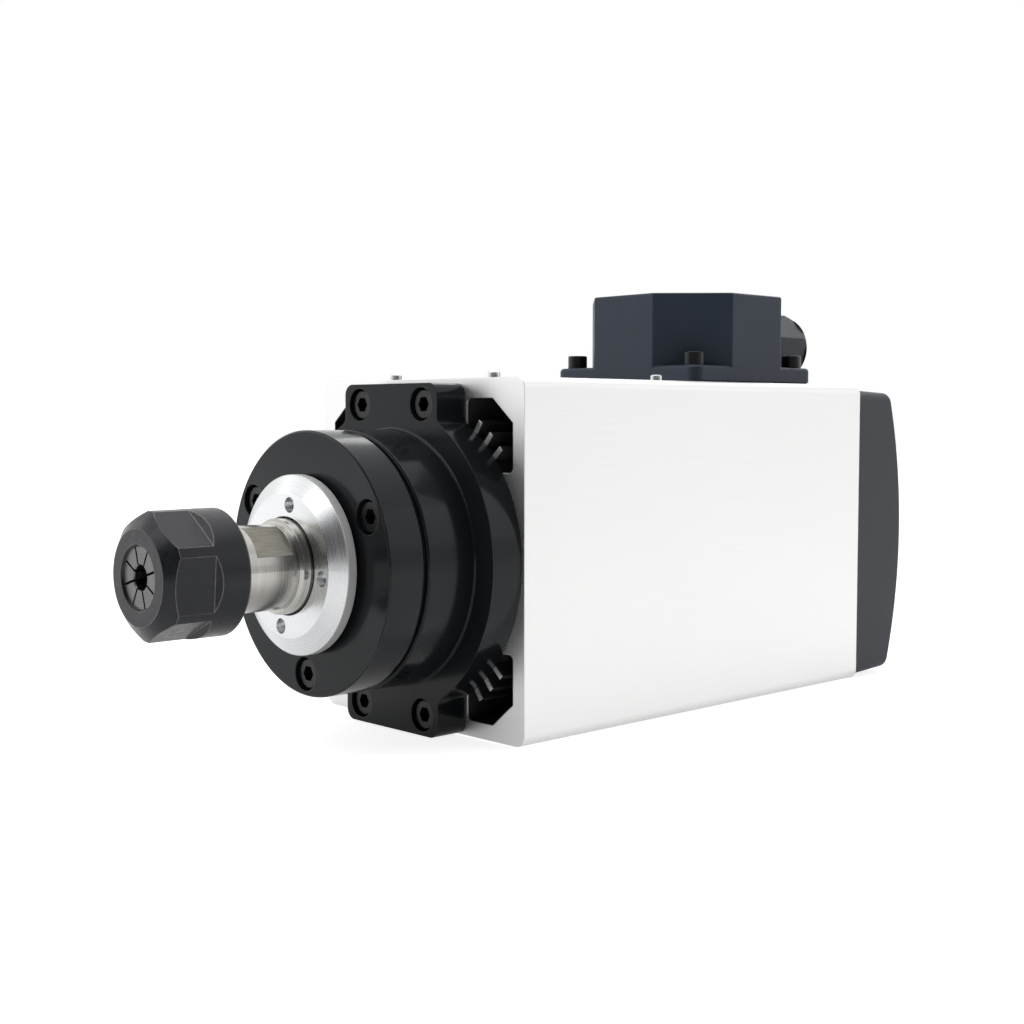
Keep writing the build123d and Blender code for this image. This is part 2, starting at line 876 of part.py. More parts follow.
def cage_set(pitch_radius, ball_radius, count, middles):
    """One-sided cages: a ring behind the balls with a finger between each two of them."""
    ring_half = ball_radius * cage_height_share
    with BuildPart() as cages:
        for middle in middles:
            start = middle + ball_radius + cage_gap
            add(tube(pitch_radius - ring_half, pitch_radius + ring_half, start, start + cage_thickness))
            with BuildSketch(facing_nose(start)):
                with PolarLocations(pitch_radius, count, 180 / count):
                    Rectangle(2 * ring_half, 2 * ring_half)
            extrude(amount=start - middle + ball_radius * cage_finger_share)
    return cages.part


front_pitch_radius = (front_bore_radius + front_outer_radius) / 2
rear_pitch_radius = (rear_bore_radius + rear_outer_radius) / 2
front_middles = [bearing_front + front_bearing_width / 2, bearing_second + front_bearing_width / 2]
rear_middle = rear_bearing_front + rear_bearing_width / 2
front_ring_step = front_ball_radius * ring_clearance_share
rear_ring_step = rear_ball_radius * ring_clearance_share

with BuildPart() as front_bearing_outer_rings:
    add(
        ring_pair(
            front_pitch_radius + front_ring_step,
            front_outer_radius,
            front_pitch_radius,
            front_ball_radius + ball_gap,
            [bearing_front, bearing_second],
            front_bearing_width,
        )
    )

with BuildPart() as front_bearing_inner_rings:
    add(
        ring_pair(
            front_bore_radius + seat_gap,
            front_pitch_radius - front_ring_step,
            front_pitch_radius,
            front_ball_radius + ball_gap,
            [bearing_front, bearing_second],
            front_bearing_width,
        )
    )

with BuildPart() as front_bearing_balls:
    add(ball_set(front_pitch_radius, front_ball_radius, front_ball_count, front_middles))

with BuildPart() as front_bearing_cages:
    add(cage_set(front_pitch_radius, front_ball_radius, front_ball_count, front_middles))

with BuildPart() as front_outer_spacer:
    add(
        tube(
            front_pitch_radius + front_ring_step + spacer_relief,
            front_outer_radius,
            bearing_middle,
            bearing_second,
        )
    )

with BuildPart() as front_inner_spacer:
    add(
        tube(
            front_bore_radius + seat_gap,
            front_pitch_radius - front_ring_step - spacer_relief,
            bearing_middle,
            bearing_second,
        )
    )

with BuildPart() as rear_bearing_outer_ring:
    add(
        ring_pair(
            rear_pitch_radius + rear_ring_step,
            rear_outer_radius,
            rear_pitch_radius,
            rear_ball_radius + ball_gap,
            [rear_bearing_front],
            rear_bearing_width,
        )
    )

with BuildPart() as rear_bearing_inner_ring:
    add(
        ring_pair(
            rear_bore_radius + seat_gap,
            rear_pitch_radius - rear_ring_step,
            rear_pitch_radius,
            rear_ball_radius + ball_gap,
            [rear_bearing_front],
            rear_bearing_width,
        )
    )

with BuildPart() as rear_bearing_balls:
    add(ball_set(rear_pitch_radius, rear_ball_radius, rear_ball_count, [rear_middle]))

with BuildPart() as rear_bearing_cage:
    add(cage_set(rear_pitch_radius, rear_ball_radius, rear_ball_count, [rear_middle]))

# ---------------------------------------------------------------- motor

with BuildPart() as stator_core:
    add(tube(stator_inner_radius, stator_bore_radius - seat_gap, core_front, core_rear))

with BuildPart() as stator_windings:
    for start, end in ((core_front - winding_length, core_front), (core_rear, core_rear + winding_length)):
        with BuildSketch(axial_plane):
            with Locations(((winding_inner_radius + winding_outer_radius) / 2, (start + end) / 2)):
                RectangleRounded(winding_outer_radius - winding_inner_radius, winding_length, winding_round)
        revolve(axis=spindle_axis)

with BuildPart() as rotor_core:
    add(tube(core_seat_radius + seat_gap, stator_inner_radius - air_gap, core_front, core_rear))

with BuildPart() as rotor_end_rings:
    for start in (core_front - end_ring_length, core_rear):
        add(
            tube(
                end_ring_inner_radius,
                end_ring_inner_radius + end_ring_thickness,
                start,
                start + end_ring_length,
            )
        )

# ---------------------------------------------------------------- rear bell, locknut and spring

spring_front = rear_bearing_rear
spring_rear = spring_front + wave_spring_height

with BuildPart() as rear_bell:
    bell_spigot_front = housing_rear - bell_spigot
    spigot_radius = rear_outer_radius + bell_spigot_wall
    revolve(
        turning(
            (rear_outer_radius + seat_gap, bell_spigot_front),
            (spigot_radius, bell_spigot_front),
            (spigot_radius, housing_rear - bell_step),
            (stator_bore_radius - seat_gap, housing_rear - bell_step),
            (stator_bore_radius - seat_gap, housing_rear),
            (bell_radius, housing_rear),
            (bell_radius, bell_rear - bell_chamfer),
            (bell_radius - bell_chamfer, bell_rear),
            (bell_bore_radius, bell_rear),
            (bell_bore_radius, spring_rear),
            (rear_outer_radius + seat_gap, spring_rear),
        ),
        axis=spindle_axis,
    )
    extrude(
        circles(facing_nose(bell_rear), m5_hole_radius, bell_screws_at),
        amount=bell_thickness,
        mode=Mode.SUBTRACT,
    )
    extrude(
        circles(facing_nose(bell_rear), m5_head_radius + head_gap, bell_screws_at),
        amount=m5_head_height,
        mode=Mode.SUBTRACT,
    )
    # Flats at each side, where the hood's walls pass
    with BuildSketch(facing_nose(bell_rear)):
        bell_flat = hood_width / 2 - hood_wall - bell_flat_gap
        with Locations((bell_flat, 0), (-bell_flat - bell_radius, 0)):
            Rectangle(bell_radius, 2 * bell_radius, align=(Align.MIN, Align.CENTER))
    extrude(amount=bell_thickness, mode=Mode.SUBTRACT)

with BuildPart() as rear_bell_screws:
    seat = facing_nose(bell_rear - m5_head_height)
    # The heads look to the rear, so the plane is turned about Z and the places mirrored with it
    rear_seat = Plane(origin=seat.origin, x_dir=(-1, 0, 0), z_dir=(0, 1, 0))
    add(cap_screws(rear_seat, bell_screws_at, m5, bell_screw_length))

with BuildPart() as wave_spring:
    spring_outer = rear_outer_radius - wave_spring_gap
    spring_inner = bell_bore_radius + wave_spring_lip
    add(tube(spring_inner, spring_outer, spring_front, spring_rear))

with BuildPart() as rear_locknut:
    add(
        tube(
            rear_bore_radius + seat_gap,
            locknut_radius,
            rear_bearing_rear,
            rear_bearing_rear + locknut_width,
        )
    )
    with BuildSketch(facing_nose(rear_bearing_rear)):
        with PolarLocations(locknut_radius, locknut_slot_count):
            Rectangle(locknut_slot, locknut_slot)
    extrude(amount=-locknut_width, mode=Mode.SUBTRACT)

# ---------------------------------------------------------------- fan

with BuildPart() as fan:
    revolve(
        turning(
            (fan_seat_radius + seat_gap, fan_front),
            (fan_radius, fan_front),
            (fan_radius, fan_front + fan_back_thickness),
            (fan_hub_radius + fan_hub_flare, fan_front + fan_back_thickness),
            (fan_hub_radius, fan_front + fan_back_thickness + fan_hub_flare),
            (fan_hub_radius, fan_rear),
            (fan_seat_radius + seat_gap, fan_rear),
        ),
        axis=spindle_axis,
    )
    with BuildSketch(facing_nose(fan_rear)) as blades:
        with BuildLine():
            middle_radius = (fan_hub_radius + fan_radius) / 2
            ThreePointArc(
                (fan_hub_radius - 2 * merge, 0),
                (middle_radius, fan_blade_bow),
                (fan_radius - fan_blade_tip_gap, 0),
            )
        trace(line_width=fan_blade_thickness)
        single_blade = blades.sketch_local
        with Locations(
            *[Location((0, 0, 0), (0, 0, 360 / fan_blade_count * k)) for k in range(1, fan_blade_count)]
        ):
            add(single_blade)
    extrude(amount=fan_width - fan_back_thickness + merge)

with BuildPart() as fan_circlip:
    add(
        tube(
            fan_seat_radius - circlip_depth + seat_gap,
            fan_seat_radius - circlip_depth + circlip_height,
            fan_rear,
            fan_rear + circlip_width,
        )
    )
    with BuildSketch(facing_nose(fan_rear)):
        with Locations((0, -fan_seat_radius)):
            Rectangle(circlip_opening, 2 * fan_seat_radius)
    extrude(amount=-circlip_width, mode=Mode.SUBTRACT)

# ---------------------------------------------------------------- hood with its grille

dome_centre = (0, hood_back - hood_dome_radius, axis_z)

with BuildPart() as hood_cavity:
    with BuildSketch(facing_nose(housing_rear)):
        inner_corner = hood_corner_radius - hood_wall / 2
        with Locations((0, hood_middle)):
            RectangleRounded(hood_width - 2 * hood_wall, hood_height - 2 * hood_wall, inner_corner)
        with Locations(*hood_screws_at):
            Circle(hood_post_radius, mode=Mode.SUBTRACT)
    extrude(amount=-hood_depth, taper=hood_draft)
    with Locations(dome_centre):
        Sphere(hood_dome_radius - hood_wall, mode=Mode.INTERSECT)

with BuildPart() as fan_hood:
    with BuildSketch(facing_nose(housing_rear)):
        with Locations((0, hood_middle)):
            RectangleRounded(hood_width, hood_height, hood_corner_radius)
    extrude(amount=-hood_depth, taper=hood_draft)
    with Locations(dome_centre):
        Sphere(hood_dome_radius, mode=Mode.INTERSECT)
    fillet(fan_hood.faces().filter_by(GeomType.SPHERE).edges(), hood_edge_round)
    add(hood_cavity.part, mode=Mode.SUBTRACT)
    # Screw holes down the corner posts
    extrude(
        circles(facing_nose(housing_rear), m4_hole_radius, hood_screws_at),
        amount=-hood_depth,
        mode=Mode.SUBTRACT,
    )
    extrude(
        circles(facing_nose(housing_rear + hood_floor), hood_counterbore_radius, hood_screws_at),
        amount=-hood_depth,
        mode=Mode.SUBTRACT,
    )
    # Round grille: rings of slots parted by ribs
    with BuildSketch(facing_nose(hood_back - grille_sag - hood_wall - merge)):
        ring_step = (grille_radius - grille_hub_radius) / grille_ring_count
        for k in range(grille_ring_count):
            outer_edge = grille_radius - ring_step * k
            Circle(outer_edge)
            Circle(outer_edge - grille_slot_width, mode=Mode.SUBTRACT)
        with Locations(
            *[Location((0, 0, 0), (0, 0, 360 / grille_rib_count * k)) for k in range(grille_rib_count)]
        ):
            Rectangle(
                grille_radius + merge, grille_rib_width, align=(Align.MIN, Align.CENTER), mode=Mode.SUBTRACT
            )
    extrude(amount=-hood_depth, mode=Mode.SUBTRACT)

with BuildPart() as fan_hood_screws:
    hood_seat = Plane(origin=(0, housing_rear + hood_floor, axis_z), x_dir=(-1, 0, 0), z_dir=(0, 1, 0))
    add(cap_screws(hood_seat, hood_screws_at, m4, hood_floor + hood_screw_bite))

# ---------------------------------------------------------------- terminal box

box_plane = box_seat_plane.offset(gasket_thickness)
foot_top = housing_height + box_foot_height
inner_corner_cut = box_corner_cut - box_wall * (2 - sqrt(2))


def octagon(half, cut):
    """The corners of a square with its four corners cut off."""
    near = half - cut
    return [
        (half, -near),
        (half, near),
        (near, half),
        (-near, half),
        (-half, near),
        (-half, -near),
        (-near, -half),
        (near, -half),
    ]


with BuildPart() as terminal_box_gasket:
    with BuildSketch(box_seat_plane):
        gasket_size = box_size - 2 * gasket_inset
        RectangleRounded(gasket_size, gasket_size, box_foot_radius - gasket_inset)
        with BuildLine():
            Polyline(*octagon(box_half - box_wall, inner_corner_cut), close=True)
        make_face(mode=Mode.SUBTRACT)
        with Locations(*box_screws_at):
            Circle(m6_hole_radius, mode=Mode.SUBTRACT)
    extrude(amount=gasket_thickness)

with BuildPart() as terminal_box:
    with BuildSketch(box_plane):
        RectangleRounded(box_size, box_size, box_foot_radius)
    extrude(amount=foot_top - box_floor)
    fillet(terminal_box.edges().group_by(Axis.Z)[-1], box_foot_round)
    with BuildSketch(box_plane) as lid:
        with BuildLine():
            Polyline(*octagon(box_half, box_corner_cut), close=True)
        make_face()
        fillet(lid.vertices(), box_corner_round)
    extrude(amount=box_top - box_floor)
    fillet(terminal_box.edges().group_by(Axis.Z)[-1], box_edge_round)
    with BuildSketch(box_plane):
        with BuildLine():
            Polyline(*octagon(box_half - box_wall, inner_corner_cut), close=True)
        make_face()
    extrude(amount=box_top - box_floor - box_wall, mode=Mode.SUBTRACT)
    extrude(circles(box_plane, m6_hole_radius, box_screws_at), amount=box_height, mode=Mode.SUBTRACT)
    extrude(
        circles(
            facing_nose(box_rear, housing_height + gland_height), gland_thread_radius + seat_gap, [(0, 0)]
        ),
        amount=box_wall + merge,
        mode=Mode.SUBTRACT,
    )

with BuildPart() as terminal_box_screws:
    screw_seat = box_seat_plane.offset(box_foot_height + box_screw_washer)
    add(
        cap_screws(
            screw_seat,
            box_screws_at,
            m6,
            box_screw_washer + box_foot_height + box_screw_bite,
        )
    )

with BuildPart() as terminal_box_washers:
    with BuildSketch(box_seat_plane.offset(box_foot_height)):
        with Locations(*box_screws_at):
            Circle(m6_head_radius + box_washer_lip)
            Circle(m6_radius + thread_gap, mode=Mode.SUBTRACT)
    extrude(amount=box_screw_washer)

block_seat = Plane(
    origin=(0, box_centre_y + block_offset_y, housing_height), x_dir=(1, 0, 0), z_dir=(0, 0, 1)
)
stud_places = [(stud_spacing * (k - (stud_count - 1) / 2), 0) for k in range(stud_count)]

with BuildPart() as terminal_block:
    with BuildSketch(block_seat):
        Rectangle(block_length, block_width)
    extrude(amount=block_height)
    # Walls between the terminals stand above the block
    with BuildSketch(block_seat.offset(block_height)):
        with GridLocations(stud_spacing, stud_spacing, stud_count + 1, 1):
            Rectangle(block_rib, block_width)
    extrude(amount=stud_height)
    extrude(
        circles(block_seat.offset(block_floor), stud_radius + seat_gap, stud_places),
        amount=block_height,
        mode=Mode.SUBTRACT,
    )

with BuildPart() as terminal_studs:
    extrude(
        circles(block_seat.offset(block_floor), stud_radius, stud_places),
        amount=block_height - block_floor + stud_height,
    )
    with BuildSketch(block_seat.offset(block_height)):
        with Locations(*stud_places):
            RegularPolygon(stud_nut_radius, 6)
    extrude(amount=stud_nut_height)

# ---------------------------------------------------------------- cable gland

gland_z = housing_height + gland_height
gland_axis = Axis((0, 0, gland_z), (0, 1, 0))
gland_plane = Plane(origin=(0, 0, gland_z), x_dir=(1, 0, 0), z_dir=(0, 0, 1))
gland_flange_front = box_rear + gland_seal_ring
gland_flange_rear = gland_flange_front + gland_hex_width
gland_neck_rear = gland_flange_rear + gland_neck_length
seal_outer_radius = gland_seal_bore + gland_seal_wall
seal_front = gland_neck_rear - gland_seal_entry
seal_rear = seal_front + gland_seal_length
cap_front = gland_flange_rear + gland_cap_gap
cap_rear = cap_front + gland_cap_length
cap_bore_radius = gland_thread_radius + running_gap


def gland_turning(*points):
    """The half section of a piece turned about the gland's own axis, as (radius, y) corners."""
    with BuildSketch(gland_plane) as half_section:
        with BuildLine():
            Polyline(*points, close=True)
        make_face()
    return half_section.sketch.face()


with BuildPart() as gland_body:
    revolve(
        gland_turning(
            (gland_bore_radius, box_rear - box_wall - gland_inside_length),
            (gland_thread_radius, box_rear - box_wall - gland_inside_length),
            (gland_thread_radius, gland_neck_rear - edge_break),
            (gland_thread_radius - edge_break, gland_neck_rear),
            (seal_outer_radius + seat_gap, gland_neck_rear),
            (seal_outer_radius + seat_gap, seal_front),
            (gland_bore_radius, seal_front),
        ),
        axis=gland_axis,
    )
    with BuildSketch(facing_nose(gland_flange_front, gland_z)):
        RegularPolygon(gland_hex_radius, 6, rotation=30)
        Circle(gland_thread_radius - merge, mode=Mode.SUBTRACT)
    extrude(amount=-gland_hex_width)

with BuildPart() as gland_seal_washer:
    revolve(
        gland_turning(
            (gland_thread_radius + seat_gap, box_rear),
            (gland_thread_radius + gland_washer_width, box_rear),
            (gland_thread_radius + gland_washer_width, gland_flange_front),
            (gland_thread_radius + seat_gap, gland_flange_front),
        ),
        axis=gland_axis,
    )

with BuildPart() as gland_locknut:
    with BuildSketch(facing_nose(box_rear - box_wall, gland_z)):
        RegularPolygon(gland_hex_radius, 6, rotation=30)
        Circle(gland_thread_radius + seat_gap, mode=Mode.SUBTRACT)
    extrude(amount=gland_nut_width)

with BuildPart() as gland_seal:
    revolve(
        gland_turning(
            (gland_seal_bore, seal_front),
            (seal_outer_radius - running_gap, seal_front),
            (seal_outer_radius - running_gap, seal_rear - gland_seal_cone_length),
            (seal_outer_radius - gland_seal_cone_depth, seal_rear),
            (gland_seal_bore, seal_rear),
        ),
        axis=gland_axis,
    )

with BuildPart() as gland_cap:
    cap_lip_front = seal_rear + running_gap
    revolve(
        gland_turning(
            (cap_bore_radius, cap_front),
            (gland_cap_radius, cap_front),
            (gland_cap_radius, cap_rear - gland_cap_dome),
            (gland_cap_radius - gland_cap_round, cap_rear - gland_cap_dome / 2),
            (gland_cap_end_radius, cap_rear),
            (gland_cap_mouth_radius, cap_rear),
            (gland_cap_mouth_radius, cap_lip_front),
            (cap_bore_radius, cap_lip_front),
        ),
        axis=gland_axis,
    )
    with BuildSketch(facing_nose(cap_front, gland_z)):
        Circle(gland_cap_radius + merge)
        RegularPolygon(gland_cap_radius, 6, rotation=gland_cap_hex_angle, mode=Mode.SUBTRACT)
    extrude(amount=gland_cap_dome / 2 - gland_cap_length, mode=Mode.SUBTRACT)

# ---------------------------------------------------------------- small screws on the housing

with BuildPart() as housing_top_screws:
    add(cap_screws(top_plane, top_screws_at, m3, top_screw_bite))

# ---------------------------------------------------------------- one STEP file for each piece

pieces = {
    "housing": housing,
    "front_flange": front_flange,
    "flange_screws": flange_screws,
    "front_cover": front_cover,
    "front_cover_screws": front_cover_screws,
    "labyrinth_nut": labyrinth_nut,
    "spindle_shaft": spindle_shaft,
    "collet": collet,
    "collet_nut": collet_nut,
    "extractor_ring": extractor_ring,
    "front_bearing_outer_rings": front_bearing_outer_rings,
    "front_bearing_inner_rings": front_bearing_inner_rings,
    "front_bearing_balls": front_bearing_balls,
    "front_bearing_cages": front_bearing_cages,
    "front_outer_spacer": front_outer_spacer,
    "front_inner_spacer": front_inner_spacer,
    "rear_bearing_outer_ring": rear_bearing_outer_ring,
    "rear_bearing_inner_ring": rear_bearing_inner_ring,
    "rear_bearing_balls": rear_bearing_balls,
    "rear_bearing_cage": rear_bearing_cage,
    "stator_core": stator_core,
    "stator_windings": stator_windings,
    "rotor_core": rotor_core,
    "rotor_end_rings": rotor_end_rings,
    "rear_bell": rear_bell,
    "rear_bell_screws": rear_bell_screws,
    "wave_spring": wave_spring,
    "rear_locknut": rear_locknut,
    "fan": fan,
    "fan_circlip": fan_circlip,
    "fan_hood": fan_hood,
    "fan_hood_screws": fan_hood_screws,
    "terminal_box": terminal_box,
    "terminal_box_gasket": terminal_box_gasket,
    "terminal_box_screws": terminal_box_screws,
    "terminal_box_washers": terminal_box_washers,
    "terminal_block": terminal_block,
    "terminal_studs": terminal_studs,
    "gland_body": gland_body,
    "gland_seal_washer": gland_seal_washer,
    "gland_locknut": gland_locknut,
    "gland_seal": gland_seal,
    "gland_cap": gland_cap,
    "housing_top_screws": housing_top_screws,
}

for name, piece in pieces.items():
    piece.part.label = name
    export_step(piece.part, f"parts/{name}.step")
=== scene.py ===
"""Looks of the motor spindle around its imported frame: camera, finishes, floor and light."""

import json
from math import cos, pi, radians, sin

import bmesh
import bpy
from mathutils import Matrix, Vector


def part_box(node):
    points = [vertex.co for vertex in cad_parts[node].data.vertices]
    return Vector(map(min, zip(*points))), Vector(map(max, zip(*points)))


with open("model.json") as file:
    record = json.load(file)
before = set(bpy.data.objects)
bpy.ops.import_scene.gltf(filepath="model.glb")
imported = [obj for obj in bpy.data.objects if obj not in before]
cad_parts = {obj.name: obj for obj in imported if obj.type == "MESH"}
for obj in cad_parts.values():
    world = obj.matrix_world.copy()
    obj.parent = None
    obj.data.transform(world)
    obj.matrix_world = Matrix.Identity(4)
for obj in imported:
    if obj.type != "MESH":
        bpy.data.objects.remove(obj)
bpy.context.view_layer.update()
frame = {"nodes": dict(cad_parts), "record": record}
nodes = frame["nodes"]

MM = 0.001
axis_z = 77 * MM
housing_low, housing_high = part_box("housing")
housing_front = housing_low.y
housing_rear = housing_high.y

# The housing is brushed on its skin and its two end faces; deeper in its ducts it is rougher and painted
# dark as shade
skin_thickness = 3 * MM
front_brushed = 0.15 * MM
front_duct_shade = 0.9 * MM
rear_brushed = 0.4 * MM

# The labyrinth nut's face, rim and bore with a ring of painted shade at its edge, and the shaft's collar
# that stands out of the bore
disc_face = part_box("labyrinth_nut")[0].y
rim_start = 37.6 * MM
rim_end = 37.9 * MM
collar_radius = 20 * MM
collar_projection = 4.5 * MM
bore_bright = 0.55 * MM
bore_dark = 0.35 * MM

# The shaft's two spanner flats, and the ring of painted shade round its collar at the nut's face
flat_angle = radians(47)
flat_distance = 16 * MM
flat_width = 17 * MM
flat_offset = 2.9 * MM
flat_edge = 0.3 * MM
flat_near = 0.04 * MM
flat_far = 0.10 * MM
flat_rear = disc_face - collar_projection - flat_offset
band_front = disc_face - 0.75 * MM
band_rear = disc_face + 2 * MM

# ---------------------------------------------------------------- camera

camera_place = Vector((0.5111, -0.5448, 0.1390))
camera_yaw = radians(46.763)
camera_pitch = radians(-3.687)
camera_lens = 51.94
sensor_width = 36
nearest_seen = 10 * MM

camera_data = bpy.data.cameras.new("camera")
camera_data.lens = camera_lens
camera_data.sensor_width = sensor_width
camera_data.clip_start = nearest_seen
camera = bpy.data.objects.new("camera", camera_data)
camera.location = camera_place
camera.rotation_euler = (pi / 2 + camera_pitch, 0, camera_yaw)
scene = bpy.context.scene
scene.collection.objects.link(camera)
scene.camera = camera

# ---------------------------------------------------------------- node helpers


def fill(tree, inputs, values):
    """Each input set to its value, or linked where the value is a socket."""
    for key, value in values.items():
        if isinstance(value, bpy.types.NodeSocket):
            tree.links.new(value, inputs[key])
        else:
            inputs[key].default_value = value


def put(tree, kind, inputs=None, **settings):
    """A new node with its settings made and its inputs filled."""
    made = tree.nodes.new("ShaderNode" + kind)
    for name, value in settings.items():
        setattr(made, name, value)
    fill(tree, made.inputs, inputs or {})
    return made


def maths(tree, operation, a, b=None):
    """The result of one sum on sockets or numbers."""
    inputs = {0: a} if b is None else {0: a, 1: b}
    return put(tree, "Math", inputs, operation=operation).outputs[0]


def product(tree, first, *others):
    """All the values multiplied together."""
    for other in others:
        first = maths(tree, "MULTIPLY", first, other)
    return first


def remap(tree, value, low, high, to_low=0.0, to_high=1.0, smooth=False):
    """The value carried from one range to another, held at its ends."""
    made = put(
        tree,
        "MapRange",
        {"Value": value, "From Min": low, "From Max": high, "To Min": to_low, "To Max": to_high},
        interpolation_type="SMOOTHSTEP" if smooth else "LINEAR",
    )
    return made.outputs["Result"]


def mixed(tree, factor, a, b):
    """The colour between a and b."""
    made = put(tree, "Mix", {"Factor": factor}, data_type="RGBA")
    for key, colour in ((6, a), (7, b)):
        plain = not isinstance(colour, bpy.types.NodeSocket)
        fill(tree, made.inputs, {key: (*colour, 1) if plain else colour})
    return made.outputs[2]


def blend(tree, share_a, a, b):
    """Two noises added, the first with its share and the second with the rest."""
    return maths(tree, "ADD", product(tree, a, share_a), product(tree, b, 1 - share_a))


def part_place(tree):
    """The place of a point on its part."""
    return put(tree, "TexCoord").outputs["Object"]


def part_axes(tree):
    """The place of a point on its part as X, Y and Z."""
    return put(tree, "SeparateXYZ", {0: part_place(tree)}).outputs


def group(name, inputs, outputs):
    """An empty node group with its sockets, and its two end nodes."""
    tree = bpy.data.node_groups.new(name, "ShaderNodeTree")
    for label, kind, value in inputs:
        socket = tree.interface.new_socket(name=label, in_out="INPUT", socket_type="NodeSocket" + kind)
        socket.default_value = value
    for label, kind in outputs:
        tree.interface.new_socket(name=label, in_out="OUTPUT", socket_type="NodeSocket" + kind)
    start = tree.nodes.new("NodeGroupInput")
    end = tree.nodes.new("NodeGroupOutput")
    return tree, start.outputs, end.inputs


def effect(tree, which, **inputs):
    """One of the shared groups placed in a material with its own values."""
    made = tree.nodes.new("ShaderNodeGroup")
    made.node_tree = which
    fill(tree, made.inputs, inputs)
    return made.outputs


# ---------------------------------------------------------------- shared effects


def cloudy_effect():
    """Slow patches over a surface, 0 to 1."""
    tree, given, out = group(
        "cloudy", [("Size", "Float", 20 * MM), ("Detail", "Float", 3.0)], [("Value", "Float")]
    )
    scale = maths(tree, "DIVIDE", 1.0, given["Size"])
    inputs = {"Vector": part_place(tree), "W": 0.0, "Scale": scale, "Detail": given["Detail"]}
    noise = put(tree, "TexNoise", inputs, noise_dimensions="4D")
    tree.links.new(noise.outputs[0], out["Value"])
    return tree


def brushed_effect():
    """Fine scratches, 0 to 1. Stretch is about how many there are to a metre along each axis."""
    tree, given, out = group("brushed", [("Stretch", "Vector", (1, 1, 1))], [("Value", "Float")])
    drawn = put(tree, "VectorMath", {0: part_place(tree), 1: given["Stretch"]}, operation="MULTIPLY")
    noise = put(tree, "TexNoise", {"Vector": drawn.outputs[0], "Scale": 1.0, "Detail": 4.0})
    tree.links.new(noise.outputs[0], out["Value"])
    return tree


def turned_effect():
    """The rings that a lathe leaves about the spindle's axis, 0 to 1, and the distance from it."""
    tree, given, out = group(
        "turned", [("Pitch", "Float", 0.4 * MM)], [("Value", "Float"), ("Radius", "Float")]
    )
    axes = part_axes(tree)
    up = maths(tree, "SUBTRACT", axes["Z"], axis_z)
    squares = maths(tree, "ADD", product(tree, axes["X"], axes["X"]), product(tree, up, up))
    radius = maths(tree, "SQRT", squares)
    around = maths(tree, "ARCTAN2", up, axes["X"])
    # The rings change slowly on their way round, so that they aren't perfect circles
    slow = product(tree, maths(tree, "COSINE", around), 0.75)
    across = maths(tree, "DIVIDE", radius, given["Pitch"])
    along = maths(tree, "DIVIDE", axes["Y"], given["Pitch"])
    rings = put(tree, "CombineXYZ", {0: across, 1: along, 2: slow}).outputs[0]
    noise = put(tree, "TexNoise", {"Vector": rings, "Scale": 1.0, "Detail": 2.0})
    tree.links.new(noise.outputs[0], out["Value"])
    tree.links.new(radius, out["Radius"])
    return tree


def edges_effect():
    """Where a corner of the surface is near, 0 to 1, and the normal rounded over it."""
    tree, given, out = group(
        "edges", [("Width", "Float", 0.4 * MM)], [("Mask", "Float"), ("Rounded", "Vector")]
    )
    rounded = put(tree, "Bevel", {"Radius": given["Width"]}, samples=6).outputs[0]
    plain = put(tree, "NewGeometry").outputs["Normal"]
    # 1 where the surface is flat, and less as the rounded normal leaves the plain one
    likeness = put(tree, "VectorMath", {0: rounded, 1: plain}, operation="DOT_PRODUCT").outputs["Value"]
    tree.links.new(remap(tree, likeness, 0.997, 0.96), out["Mask"])
    tree.links.new(rounded, out["Rounded"])
    return tree


cloudy = cloudy_effect()
brushed = brushed_effect()
turned = turned_effect()
edges = edges_effect()

# ---------------------------------------------------------------- finishes


def finish_named(name, roughness, metallic=0.0, **constant):
    """A material with its tree and its shader's inputs, the constant ones set here."""
    made = bpy.data.materials.new(name)
    made.use_nodes = True
    tree = made.node_tree
    into = tree.nodes["Principled BSDF"].inputs
    into["Roughness"].default_value = roughness
    into["Metallic"].default_value = metallic
    for key, value in constant.items():
        into[key.replace("_", " ")].default_value = value
    return made, tree, into


def bumped(tree, height, depth, normal):
    """The normal roughened by the height, depth metres deep."""
    inputs = {"Height": height, "Distance": depth, "Strength": 1.0, "Normal": normal}
    return put(tree, "Bump", inputs).outputs[0]


def tint_over(tree, socket, mask, colour):
    """A colour laid over what feeds the shader's socket."""
    tree.links.new(mixed(tree, mask, socket.links[0].from_socket, colour), socket)


def value_over(tree, socket, mask, value):
    """A number laid over what the shader's socket holds or is fed."""
    before = socket.links[0].from_socket if socket.links else socket.default_value
    after = put(tree, "Mix", {0: mask, 2: before, 3: value}, data_type="FLOAT").outputs[0]
    tree.links.new(after, socket)


